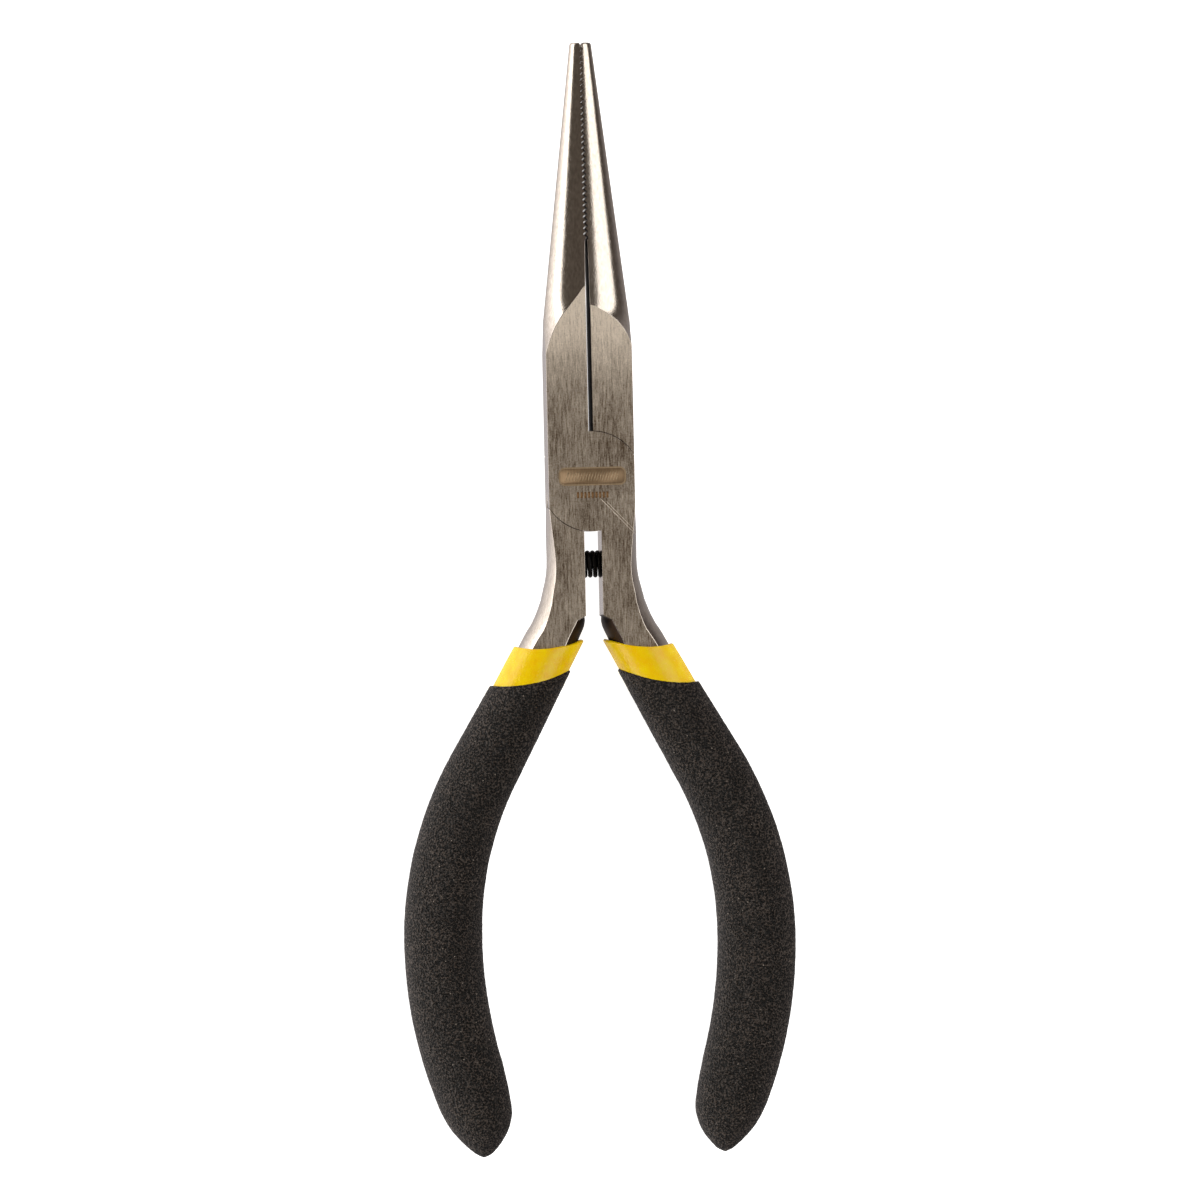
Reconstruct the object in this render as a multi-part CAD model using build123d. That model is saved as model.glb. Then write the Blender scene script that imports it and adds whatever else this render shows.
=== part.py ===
"""Mini needle nose pliers: two forged jaw halves on a lap joint, a flush pivot rivet,
a coil return spring between the handles, and double-dipped grips.

Millimetres. +X across the tool, +Y towards the jaw tips, +Z up through the joint.
The origin is on the pivot axis, in the lower ground face of the joint.

Both halves are one design. It is drawn once, with its jaw on -X, its lap on top and its
handle on +X, and the other half is the same shape turned half a turn about the tool's length.
Only the grinding of the nose differs a little between the two.
"""

import math
import os

from build123d import *

# ---------------------------------------------------------------- driving dimensions
JOINT_THICKNESS = 6.0
JOINT_HALF_WIDTH = 4.92
MID_Z = JOINT_THICKNESS / 2

LAP_RADIUS = 5.70
LAP_SIDE_CLEARANCE = 0.07
LAP_FACE_CLEARANCE = 0.04
LAP_REACH = 9.0

TIP_Y = 50.0
TIP_HALF_WIDTH = 1.22
TIP_ROUNDING = 0.25
NOSE_WIDTH_SLOPE = 0.1175
TIP_HALF_THICKNESS = 0.95
NOSE_BASE_Y = 12.5
NOSE_OVERLAP = 0.5
FLARE_STEPS = 8

SLOT_HALF_GAP = 0.24
SLOT_TOP_Y = 21.5
TOOTH_PITCH = 0.65
TOOTH_DEPTH = 0.32
TOOTH_COUNT = 34
TEETH_TOP_Y = 49.55
TIP_HALF_GAP = 0.03
TEETH_END_HALF_GAP = 0.15

RIVET_RADIUS = 1.9
RIVET_HEAD_RADIUS = 2.7
RIVET_HEAD_DEPTH = 1.0
RIVET_RUNNING_CLEARANCE = 0.03

HANDLE_INNER_X = 0.96
INNER_WALL_BULGE = 0.02
HANDLE_HALF_WIDTH = 5.15
SHOULDER_Y = -8.5
SHOULDER_RADIUS = 16.0
HANDLE_LEAN = 29.0
TANG_HALF_WIDTH = 2.88
TANG_FLANK_BULGE = 1.45
SWAGE_START_Y = -15.3
GRINDING_ALLOWANCE = 0.3

GRIP_RUN = 17.0
GRIP_BEND_RADIUS = 40.0
GRIP_RETURN_RADIUS = 51.0
GRIP_HALF_WIDTH = 4.46
GRIP_FRONT_NARROWING = 0.72
GRIP_FRONT_LENGTH = 30.0
GRIP_FRONT_POWER = 1.3
GRIP_WIDEST_AT = 37.0
GRIP_TAPER_START = 44.0
GRIP_TAPER_RATE = 0.008
GRIP_TAPER_POWER = 1.35
GRIP_HEIGHT_RATIO = 0.95
EXTRA_HALF_HEIGHT = 0.14
GRIP_END = (13.76, -76.65)
CAP_LEAN_PER_MM = -2.3

SPRING_Y = -9.4
SPRING_MEAN_RADIUS = 1.29
SPRING_WIRE_RADIUS = 0.27
SPRING_PITCH = 0.58
SPRING_HALF_LENGTH = 2.8
POCKET_RADIUS = 1.68
POCKET_FLOOR_X = 3.12

# Each nose: how fast its half thickness grows away from the tip, the height at which it starts
# to flare into the joint, and how fast it flares.
LEFT_CROWN = (0.074, 21.6, 0.077)
RIGHT_CROWN = (0.0678, 20.45, 0.19)

# Handle above the shoulder: height on the inner side, then outer point and outer bulge.
HANDLE_STATIONS = (
    (-1.0, (4.93, -1.0), 0.02),
    (-2.7, (5.00, -2.7), 0.10),
    (-4.6, (5.11, -4.5), 0.35),
    (-6.8, (5.15, -6.6), 0.62),
    (-9.3, (5.15, -8.8), 0.84),
)

# Round the shoulder: height on the inner side, angle round the arc, outer bulge.
SHOULDER_STATIONS = (
    (-12.6, 9, 1.00),
    (SWAGE_START_Y, 18, 1.18),
)

# Below the swage: inner point, angle round the shoulder arc, inner and outer bulge.
SWAGED_STATIONS = (
    ((0.96, SWAGE_START_Y), 18, 0.80, 1.18),
    ((1.02, -16.4), 22, 1.15, 1.27),
    ((1.44, -17.4), 26, 1.25, 1.38),
)
COLLAR_INNER_BULGE = 1.35
HANDLE_SPACE = (20, -30)

# Plan of the short step that closes the top of the swage.
SWAGE_STEP = ((0.5, -14.6), (2.6, -14.6), (2.6, -16.1), (0.96, -15.3), (0.5, -15.1))

# Grip sections, as distances along the handle from the end of the shoulder.
GRIP_STATIONS = (-1, 3.5, 8, 12.5, 17, 21, 25, 29, 33, 37, 41, 45, 49, 52.5)

# Sections of the blunt grip end: plan centre and half-width.
CAP_STATIONS = (
    (14.60, -70.60, 4.02),
    (14.13, -72.30, 3.70),
    (13.93, -73.60, 3.15),
    (13.83, -74.70, 2.42),
    (13.79, -75.60, 1.62),
    (13.77, -76.30, 0.84),
)

# Inner coat: distance along the handle from the end of the shoulder, half-width and half-height.
SLEEVE_STATIONS = (
    (-3.0, 3.30, 3.44),
    (1.0, 3.37, 3.51),
    (5.0, 3.45, 3.59),
    (11.0, 3.45, 3.59),
    (18.0, 3.35, 3.49),
    (26.0, 3.25, 3.39),
    (34.0, 3.15, 3.29),
    (42.0, 3.05, 3.19),
    (50.0, 2.85, 2.99),
    (52.6, 1.90, 2.00),
)

# Tang: distance along the handle from the end of the shoulder, half-width and half-height.
TANG_STATIONS = (
    (0.0, 2.88, 3.00),
    (6.0, 2.80, 2.90),
    (13.0, 2.65, 2.80),
    (20.0, 2.52, 2.68),
    (28.0, 2.40, 2.55),
    (36.0, 2.30, 2.45),
    (44.0, 2.20, 2.35),
    (51.0, 2.10, 2.25),
)

# Dipped rims: inner and outer plan point, and how far the rim sags above and below.
INNER_COAT_RIM = ((1.35, -18.1), (9.1, -18.55), 0.6)
OUTER_GRIP_RIM = ((2.95, -21.55), (11.6, -22.9), 0.55)
RIM_REACH = 3.6
GRIP_SPACE = 60


# ---------------------------------------------------------------- small helpers
def slab(x0, x1, y0, y1, z0, z1):
    """Box between two corners."""
    return Pos((x0 + x1) / 2, (y0 + y1) / 2, (z0 + z1) / 2) * Box(x1 - x0, y1 - y0, z1 - z0)


def disc(radius, z0, z1):
    """Upright cylinder about the pivot axis."""
    return Pos(0, 0, (z0 + z1) / 2) * Cylinder(radius, z1 - z0)


def prism(points, z0, z1):
    """Plan outline pulled up from z0 to z1."""
    outline = Plane.XY.offset(z0) * make_face(Polyline(*points, close=True))
    return extrude(outline, z1 - z0)


def arc_sag(half_height, bulge):
    """How far a flank that bulges by bulge at the ground face falls away at half_height."""
    radius = (MID_Z**2 + bulge**2) / (2 * bulge)
    return radius - math.sqrt(radius**2 - half_height**2)


def across(inner, outer):
    """Upright plane through two plan points, X from inner to outer, Z down the handle."""
    middle = ((inner[0] + outer[0]) / 2, (inner[1] + outer[1]) / 2, MID_Z)
    run = Vector(outer[0] - inner[0], outer[1] - inner[1], 0).normalized()
    return Plane(origin=middle, x_dir=run, z_dir=(run.Y, -run.X, 0))


def flat_sided_section(inner, outer, inner_bulge, outer_bulge, half_height):
    """Handle section: flat above and below, with a bulging flank at each side."""
    half = math.dist(inner, outer) / 2
    left = -half + arc_sag(half_height, inner_bulge)
    right = half - arc_sag(half_height, outer_bulge)
    edges = [
        Line((left, half_height), (right, half_height)),
        ThreePointArc((right, half_height), (half, 0), (right, -half_height)),
        Line((right, -half_height), (left, -half_height)),
        ThreePointArc((left, -half_height), (-half, 0), (left, half_height)),
    ]
    return across(inner, outer) * make_face(edges)


# ---------------------------------------------------------------- handle centreline
def shoulder_point(angle):
    """Point on the outer shoulder arc where the handle has leaned by angle."""
    a = math.radians(angle)
    centre_x = HANDLE_HALF_WIDTH + SHOULDER_RADIUS
    return centre_x - SHOULDER_RADIUS * math.cos(a), SHOULDER_Y - SHOULDER_RADIUS * math.sin(a)


def centreline(t):
    """Plan position and lean of the handle's axis, t mm beyond the end of the shoulder."""
    outer = shoulder_point(HANDLE_LEAN)
    lean = math.radians(HANDLE_LEAN)
    x = outer[0] - TANG_HALF_WIDTH * math.cos(lean)
    y = outer[1] - TANG_HALF_WIDTH * math.sin(lean)
    run = min(t, GRIP_RUN)
    x, y = x + run * math.sin(lean), y - run * math.cos(lean)
    bend = min(max(t - GRIP_RUN, 0) / GRIP_BEND_RADIUS, lean)
    x += GRIP_BEND_RADIUS * (math.cos(lean - bend) - math.cos(lean))
    y -= GRIP_BEND_RADIUS * (math.sin(lean) - math.sin(lean - bend))
    back = max(t - GRIP_RUN - GRIP_BEND_RADIUS * lean, 0) / GRIP_RETURN_RADIUS
    x -= GRIP_RETURN_RADIUS * (1 - math.cos(back))
    y -= GRIP_RETURN_RADIUS * math.sin(back)
    return x, y, math.degrees(lean - bend - back)


def station_ends(x, y, lean, half_width):
    """Inner and outer plan points of a section across the handle."""
    a = math.radians(lean)
    step = (half_width * math.cos(a), half_width * math.sin(a))
    return (x - step[0], y - step[1]), (x + step[0], y + step[1])


def oval_section(x, y, lean, half_width, half_height):
    """Elliptical section across the handle."""
    return across(*station_ends(x, y, lean, half_width)) * Ellipse(half_width, half_height)


def grip_section(t):
    """Grip section t mm beyond the end of the shoulder: it widens towards the back, then tapers."""
    front = max(GRIP_WIDEST_AT - t, 0) / GRIP_FRONT_LENGTH
    back = max(t - GRIP_TAPER_START, 0)
    half_width = GRIP_HALF_WIDTH - GRIP_FRONT_NARROWING * front**GRIP_FRONT_POWER
    half_width -= GRIP_TAPER_RATE * back**GRIP_TAPER_POWER
    half_height = half_width * GRIP_HEIGHT_RATIO + EXTRA_HALF_HEIGHT
    return oval_section(*centreline(t), half_width, half_height)


def cap_section(x, y, half_width):
    """Grip section inside the blunt end cap, squaring up towards the tip."""
    lean = CAP_LEAN_PER_MM * (y - GRIP_END[1])
    return oval_section(x, y, lean, half_width, half_width * GRIP_HEIGHT_RATIO)


# ---------------------------------------------------------------- jaw half
def nose_section(y, crown, inset=0.0):
    """Full oval section of the closed nose at that height: a straight taper, flared into the joint."""
    thickness_slope, flare_start, flare_rate = crown
    half_width = TIP_HALF_WIDTH + NOSE_WIDTH_SLOPE * (TIP_Y - y) - inset
    half_thickness = TIP_HALF_THICKNESS + thickness_slope * (TIP_Y - y) - inset
    half_thickness += flare_rate * max(flare_start - y, 0) ** 2
    plane = Plane(origin=(0, y, MID_Z), x_dir=(1, 0, 0), z_dir=(0, 1, 0))
    return plane * Ellipse(half_width, half_thickness)


def softened_tip(crown):
    """The last of the nose, its end rounded over."""
    shoulder_y = TIP_Y - TIP_ROUNDING
    sections = []
    for angle in (0, 30, 60, 90):
        a = math.radians(angle)
        y = shoulder_y + TIP_ROUNDING * math.sin(a)
        sections.append(nose_section(y, crown, TIP_ROUNDING * (1 - math.cos(a))))
    return loft(sections, ruled=True)


def nose_blank(crown):
    """Both closed jaws as one solid, ground flat to the joint's thickness."""
    flare_start = crown[1]
    taper = [nose_section(TIP_Y - TIP_ROUNDING, crown), nose_section(flare_start, crown)]
    step = (flare_start - NOSE_BASE_Y) / FLARE_STEPS
    flare = [nose_section(flare_start - i * step, crown) for i in range(FLARE_STEPS + 1)]
    nose = loft(taper, ruled=True) + softened_tip(crown) + loft(flare)
    limits = slab(-JOINT_HALF_WIDTH, JOINT_HALF_WIDTH, 0, TIP_Y + 1, 0, JOINT_THICKNESS)
    return nose & limits


def gripping_edge(tooth_sign):
    """Plan points of the jaw's inner edge, tip first: serrations, then the relieved slot."""
    points = [(-1, TIP_Y + 1), (-TIP_HALF_GAP, TIP_Y - TIP_ROUNDING), (-TIP_HALF_GAP, TEETH_TOP_Y)]
    half_pitches = 2 * TOOTH_COUNT
    for i in range(1, half_pitches):
        share = i / half_pitches
        half_gap = TIP_HALF_GAP + share * (TEETH_END_HALF_GAP - TIP_HALF_GAP)
        swing = TOOTH_DEPTH / 2 * (1 if i % 2 else -1) * tooth_sign
        points.append((-half_gap + swing, TEETH_TOP_Y - i * TOOTH_PITCH / 2))
    points.append((-TEETH_END_HALF_GAP, TEETH_TOP_Y - TOOTH_COUNT * TOOTH_PITCH))
    points.append((-SLOT_HALF_GAP, SLOT_TOP_Y))
    points.append((-SLOT_HALF_GAP, 0))
    return points


def visible_handle():
    """The steel from the lap to the start of the grip, ground flat on both faces."""
    height = MID_Z + GRINDING_ALLOWANCE
    inner = HANDLE_INNER_X
    square = INNER_WALL_BULGE
    stations = []
    for inner_y, outer, bulge in HANDLE_STATIONS:
        stations.append(((inner, inner_y), outer, square, bulge))
    for inner_y, angle, bulge in SHOULDER_STATIONS:
        stations.append(((inner, inner_y), shoulder_point(angle), square, bulge))
    upper = loft([flat_sided_section(*s, height) for s in stations])

    swaged, unswaged = [], []
    for start, angle, inner_bulge, bulge in SWAGED_STATIONS:
        swaged.append((start, shoulder_point(angle), inner_bulge, bulge))
        unswaged.append((start, shoulder_point(angle), square, bulge))
    swaged.append((*station_ends(*centreline(0), TANG_HALF_WIDTH), COLLAR_INNER_BULGE, TANG_FLANK_BULGE))
    lower = loft([flat_sided_section(*s, height) for s in swaged])
    step = loft([flat_sided_section(*s, height) for s in unswaged[:2]])
    step &= prism(SWAGE_STEP, -1, JOINT_THICKNESS + 1)

    ground = slab(-1, HANDLE_SPACE[0], HANDLE_SPACE[1], 0, 0, JOINT_THICKNESS)
    return (upper + lower + step) & ground


def hidden_tang():
    """The tang inside the grip, drawn down towards its end."""
    sections = []
    for t, half_width, half_height in TANG_STATIONS:
        ends = station_ends(*centreline(t), half_width)
        sections.append(flat_sided_section(*ends, COLLAR_INNER_BULGE, TANG_FLANK_BULGE, half_height))
    return loft(sections)


def rivet_body(clearance):
    """The pivot rivet's shape, grown by clearance, flush with both ground faces."""
    body = disc(RIVET_RADIUS + clearance, 0, JOINT_THICKNESS)
    head = Cone(RIVET_RADIUS + clearance, RIVET_HEAD_RADIUS + clearance, RIVET_HEAD_DEPTH)
    top = Pos(0, 0, JOINT_THICKNESS - RIVET_HEAD_DEPTH / 2) * head
    bottom = Pos(0, 0, RIVET_HEAD_DEPTH / 2) * Rot(180, 0, 0) * head
    return body + top + bottom


def jaw_half(tooth_sign, crown, rivet_clearance):
    """One forged half: jaw on -X, lap on top, handle on +X."""
    lap_floor = MID_Z + LAP_FACE_CLEARANCE / 2
    width = JOINT_HALF_WIDTH
    blank = nose_blank(crown) + slab(-width, width, 0, NOSE_BASE_Y + NOSE_OVERLAP, 0, JOINT_THICKNESS)
    outline = [(-LAP_REACH, 0), (-LAP_REACH, TIP_Y + 1), *gripping_edge(tooth_sign)]
    jaw = blank & prism(outline, 0, JOINT_THICKNESS)
    lap = disc(LAP_RADIUS, lap_floor, JOINT_THICKNESS)
    lap &= slab(-width, width, -LAP_REACH, LAP_REACH, 0, JOINT_THICKNESS)
    other_lap = disc(LAP_RADIUS + LAP_SIDE_CLEARANCE, -1, lap_floor)
    half = (jaw + visible_handle() + hidden_tang()) - other_lap
    half += lap
    pocket = Rot(0, 90, 0) * Cylinder(POCKET_RADIUS, POCKET_FLOOR_X)
    half -= Pos(POCKET_FLOOR_X / 2, SPRING_Y, MID_Z) * pocket
    half -= rivet_body(rivet_clearance)
    return half


# ---------------------------------------------------------------- dipped sleeves and grips
def rim_keep(inner, outer, dip):
    """Everything behind a dipped rim: a line in plan between two points, sagging by dip above and below."""
    radius = (RIM_REACH**2 + dip**2) / (2 * dip)
    barrel = Rot(0, 90, 0) * Cylinder(radius, GRIP_SPACE)
    beyond = Pos(0, 0, GRIP_SPACE) * Box(GRIP_SPACE, GRIP_SPACE, 2 * GRIP_SPACE)
    return across(inner, outer) * Pos(0, 0, radius) * (barrel + beyond)


def sleeve_outer():
    """Outer shape of the inner dipped coat, from its rim to past the tang's end."""
    return loft([oval_section(*centreline(t), width, height) for t, width, height in SLEEVE_STATIONS])


def inner_sleeve(half):
    """Thin inner coat over the tang. Its rim shows as a collar ahead of the outer grip."""
    return (sleeve_outer() & rim_keep(*INNER_COAT_RIM)) - half


def grip():
    """Thick textured outer grip with a blunt closed end."""
    sections = [grip_section(t) for t in GRIP_STATIONS]
    sections += [cap_section(*station) for station in CAP_STATIONS]
    sections.append(Vertex(*GRIP_END, MID_Z))
    return (loft(sections) & rim_keep(*OUTER_GRIP_RIM)) - sleeve_outer()


# ---------------------------------------------------------------- spring
def return_spring():
    """Close-wound coil across the gap, its ends in the two handle pockets."""
    start = (-SPRING_HALF_LENGTH, SPRING_Y, MID_Z)
    path = Helix(SPRING_PITCH, 2 * SPRING_HALF_LENGTH, SPRING_MEAN_RADIUS, center=start, direction=(1, 0, 0))
    wire = Plane(origin=path @ 0, z_dir=path % 0) * Circle(SPRING_WIRE_RADIUS)
    return sweep(wire, path=path, is_frenet=True)


# ---------------------------------------------------------------- assembly
def turned(shape):
    """The shape turned half a turn about the tool's length, on the joint's middle plane."""
    return shape.rotate(Axis((0, 0, MID_Z), (0, 1, 0)), 180)


def main():
    left_half = jaw_half(1, LEFT_CROWN, 0.0)
    right_half = jaw_half(-1, RIGHT_CROWN, RIVET_RUNNING_CLEARANCE)
    sleeve = inner_sleeve(left_half)
    outer_grip = grip()
    parts = {
        "left_jaw_half": left_half,
        "right_jaw_half": turned(right_half),
        "pivot_rivet": rivet_body(0.0),
        "return_spring": return_spring(),
        "right_inner_sleeve": sleeve,
        "left_inner_sleeve": turned(sleeve),
        "right_grip": outer_grip,
        "left_grip": turned(outer_grip),
    }
    os.makedirs("parts", exist_ok=True)
    for name, shape in parts.items():
        export_step(shape, f"parts/{name}.step")


main()
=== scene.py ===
"""Looks of the needle nose pliers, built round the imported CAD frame. Metres, CAD frame."""

import math

import bmesh
import bpy
import numpy as np
from mathutils import Matrix, Vector, noise


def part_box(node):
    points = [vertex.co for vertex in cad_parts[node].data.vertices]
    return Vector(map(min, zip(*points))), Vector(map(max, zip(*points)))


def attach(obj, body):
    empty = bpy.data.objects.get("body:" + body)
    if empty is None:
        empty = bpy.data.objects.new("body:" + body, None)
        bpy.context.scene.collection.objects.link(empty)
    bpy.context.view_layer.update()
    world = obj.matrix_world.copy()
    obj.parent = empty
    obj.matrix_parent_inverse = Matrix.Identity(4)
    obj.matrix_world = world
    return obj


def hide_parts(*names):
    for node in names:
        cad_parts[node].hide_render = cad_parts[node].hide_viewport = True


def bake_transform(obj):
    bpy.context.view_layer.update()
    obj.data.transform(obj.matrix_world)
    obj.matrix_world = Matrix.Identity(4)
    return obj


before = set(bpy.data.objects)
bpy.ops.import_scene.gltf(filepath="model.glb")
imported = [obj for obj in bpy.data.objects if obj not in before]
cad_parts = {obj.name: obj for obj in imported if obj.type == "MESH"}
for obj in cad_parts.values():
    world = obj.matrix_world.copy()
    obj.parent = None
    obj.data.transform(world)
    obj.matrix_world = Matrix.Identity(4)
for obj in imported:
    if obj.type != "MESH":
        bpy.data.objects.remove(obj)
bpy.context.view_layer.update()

# ---------------------------------------------------------------- dimensions, in millimetres
MM = 0.001
LEFT_BODY = "left_jaw_lever"
RIGHT_BODY = "right_jaw_lever"

joint_low, joint_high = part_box("pivot_rivet")
TOP_Z = joint_high.z / MM
MID_Z = (joint_low.z + joint_high.z) / 2 / MM

HANDLE_HALF_WIDTH = 5.15
SHOULDER_Y = -8.5
SHOULDER_RADIUS = 16.0
HANDLE_LEAN = 29.0
TANG_HALF_WIDTH = 2.88

GRIP_RUN = 17.0
GRIP_BEND_RADIUS = 40.0
GRIP_RETURN_RADIUS = 51.0
GRIP_HALF_WIDTH = 4.46
GRIP_FRONT_NARROWING = 0.72
GRIP_FRONT_LENGTH = 30.0
GRIP_FRONT_POWER = 1.3
GRIP_WIDEST_AT = 37.0
GRIP_BACK_NARROWING = 0.008
GRIP_BACK_FROM = 44.0
GRIP_BACK_POWER = 1.35
GRIP_HEIGHT_RATIO = 0.95
GRIP_EXTRA_HEIGHT = 0.14
GRIP_CAP_START = 52.5
# Stations of the grip's blunt end: place in plan and half width.
GRIP_CAP = (
    (14.60, -70.60, 4.02),
    (14.13, -72.30, 3.70),
    (13.93, -73.60, 3.15),
    (13.83, -74.70, 2.42),
    (13.79, -75.60, 1.62),
    (13.77, -76.30, 0.84),
)
GRIP_END = (13.76, -76.65)
GRIP_END_HALF_WIDTH = 0.12
GRIP_CAP_LEAN_RATE = 2.3
# A rim in plan: its inner end, its outer end, and how far it dips between them over the top.
GRIP_RIM = ((2.95, -21.55), (11.6, -22.9), 0.55)
GRIP_COAT = 0.36
GRIP_LIP = 0.20
GRIP_TUCK = 2.2
GRIP_LEVEL_FROM = 12.0
GRIP_GIRTH = 26.5

# Distance along the handle, and half width there.
COLLAR_WIDTHS = ((-3.0, 3.30), (1.0, 3.37), (5.0, 3.45), (11.0, 3.45), (18.0, 3.35))
COLLAR_RIM = ((1.35, -18.1), (9.1, -18.55), 0.6)
COLLAR_COAT = 0.42
COLLAR_LIP = 0.17
COLLAR_TUCK = 1.2
COLLAR_WAVE = 0.07
COLLAR_COLUMNS = 220
COLLAR_ROWS = 60
COLLAR_HIDDEN_END = 9.0
COLLAR_END_INSET = 0.5

RIM_HALF_REACH = 3.6
RIM_SEARCH = (-8.0, 16.0)
RIM_HALVINGS = 40
RIM_STEPS = 8

SPRING_Y = -9.4
SPRING_MEAN_RADIUS = 1.29
SPRING_WIRE_RADIUS = 0.27
SPRING_PITCH = 0.58
SPRING_HALF_LENGTH = 2.8
SPRING_STEPS_PER_TURN = 56
SPRING_WIRE_COLUMNS = 20

TIP_Y = 50.0
TIP_HALF_WIDTH = 1.22
NOSE_WIDTH_SLOPE = 0.1175
TIP_HALF_THICKNESS = 0.95
TIP_ROUNDING = 0.28
NOSE_BASE_Y = 12.5
# How fast a nose thickens, where its flare towards the joint starts, and the flare's rate.
LEFT_CROWN = (0.074, 21.6, 0.077)
RIGHT_CROWN = (0.0678, 20.45, 0.19)
TOOTH_PITCH = 0.65
TEETH_TOP_Y = 49.55
TEETH_BOTTOM_Y = 27.6

# Plain etched bar with its border and hatch, and the row of ticks below it.
BAR_CENTRE = (0.08, 0.57)
BAR_SIZE = (7.7, 2.1)
BAR_CORNER = 0.72
BAR_BORDER = 0.34
BAR_INNER_CORNER = 0.55
BAR_LIFT = 0.003
LINE_LIFT = 0.005
HATCH_COUNT = 19
HATCH_PITCH = 0.32
HATCH_HALF_WIDTH = 0.055
HATCH_HALF_HEIGHT = 0.5
HATCH_SLANT = 0.16
TICK_COUNT = 9
TICK_PITCH = 0.42
TICK_HALF_WIDTH = 0.12
TICK_BOTTOM = -1.9
TICK_TOP = -1.2
PLATE_ROOT = 0.01

# Two burrs down across the lap: offset sideways, half width, height and how much later each starts.
WITNESS_LINE = ((0.97, -1.98), (4.80, -6.10))
WITNESS_BURRS = ((0.0, 0.035, 0.008, 0.0), (0.26, 0.025, 0.006, 0.7))

# How the halves' meshes are cleaned and rounded.
WELD_DISTANCE = 0.003
SHORTEST_EDGE = 0.02
CUT_DISTANCE = 0.0005
FLAT_ANGLE = math.radians(0.25)
NOSE_TOLERANCE = 0.02
NOSE_CUTS = 22
TOOTH_ROUNDING = 0.13
EDGE_ROUNDING = 0.05
LAP_RADIUS = 5.70
LAP_EDGE_BAND = 0.16
LAP_EDGE_ROUNDING = 0.015
EDGE_ANGLE = math.radians(20)
RIVET_AREA = 3.2
HIDDEN_BELOW_Y = -19.5

FOAM_STEP = 0.17


# ---------------------------------------------------------------- mesh helpers
def turned(points):
    """Points turned half a turn about the tool's length, on the joint's middle plane."""
    return points * np.array((-1.0, 1.0, -1.0)) + np.array((0.0, 0.0, 2 * MID_Z))


def new_object(name, points, faces, material, body, node):
    """A smooth mesh piece, its points in millimetres, that may stand for a CAD node and ride on a body."""
    mesh = bpy.data.meshes.new(name)
    mesh.from_pydata((np.asarray(points) * MM).tolist(), [], faces)
    mesh.validate()
    mesh.polygons.foreach_set("use_smooth", [True] * len(mesh.polygons))
    mesh.materials.append(material)
    obj = bpy.data.objects.new(name, mesh)
    bpy.context.scene.collection.objects.link(obj)
    if node:
        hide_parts(node)
    if body:
        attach(obj, body)
    return obj


def tube_faces(rows, columns):
    """Quads of a closed tube of rings, each end shut by a fan to its own last point."""
    faces = []
    for r in range(rows - 1):
        for c in range(columns):
            d = (c + 1) % columns
            here, beyond = r * columns, (r + 1) * columns
            faces.append((here + c, beyond + c, beyond + d, here + d))
    first, last = rows * columns, rows * columns + 1
    for c in range(columns):
        d = (c + 1) % columns
        faces.append((first, c, d))
        faces.append((last, (rows - 1) * columns + d, (rows - 1) * columns + c))
    return faces


# ---------------------------------------------------------------- handle centreline
def shoulder_point(angle):
    """Plan position on the handle's outer shoulder, at an angle in degrees round its arc."""
    a = math.radians(angle)
    centre_x = HANDLE_HALF_WIDTH + SHOULDER_RADIUS
    return centre_x - SHOULDER_RADIUS * math.cos(a), SHOULDER_Y - SHOULDER_RADIUS * math.sin(a)


def centreline(t):
    """Plan position and lean (radians) of the handle's axis, t mm beyond the end of the shoulder."""
    outer = shoulder_point(HANDLE_LEAN)
    lean = math.radians(HANDLE_LEAN)
    run = np.minimum(t, GRIP_RUN)
    x = outer[0] - TANG_HALF_WIDTH * math.cos(lean) + run * math.sin(lean)
    y = outer[1] - TANG_HALF_WIDTH * math.sin(lean) - run * math.cos(lean)
    bend = np.minimum(np.maximum(t - GRIP_RUN, 0) / GRIP_BEND_RADIUS, lean)
    x = x + GRIP_BEND_RADIUS * (np.cos(lean - bend) - math.cos(lean))
    y = y - GRIP_BEND_RADIUS * (math.sin(lean) - np.sin(lean - bend))
    back = np.maximum(t - GRIP_RUN - GRIP_BEND_RADIUS * lean, 0) / GRIP_RETURN_RADIUS
    x = x - GRIP_RETURN_RADIUS * (1 - np.cos(back))
    y = y - GRIP_RETURN_RADIUS * np.sin(back)
    return x, y, lean - bend - back


def oval(t, around, half_width, half_height):
    """Points of the handle's oval surface, t along it and at an angle around, from its side over the top."""
    x, y, lean = centreline(t)
    across = half_width * np.cos(around)
    rise = half_height * np.sin(around)
    return np.stack((x + across * np.cos(lean), y + across * np.sin(lean), MID_Z + rise), axis=-1)


def grip_half_width(t):
    """Half width of the grip, which is widest a little behind its middle."""
    front = np.maximum(GRIP_WIDEST_AT - t, 0) / GRIP_FRONT_LENGTH
    back = np.maximum(t - GRIP_BACK_FROM, 0)
    half_width = GRIP_HALF_WIDTH - GRIP_FRONT_NARROWING * front**GRIP_FRONT_POWER
    return half_width - GRIP_BACK_NARROWING * back**GRIP_BACK_POWER


def collar_half_width(t):
    return np.interp(t, [s[0] for s in COLLAR_WIDTHS], [s[1] for s in COLLAR_WIDTHS])


def grip_surface(t, around, inset=0.0):
    w = grip_half_width(t) - inset
    return oval(t, around, w, w * GRIP_HEIGHT_RATIO + GRIP_EXTRA_HEIGHT)


def collar_surface(t, around, inset=0.0):
    w = collar_half_width(t) - inset
    return oval(t, around, w, w + GRIP_EXTRA_HEIGHT)


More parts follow.
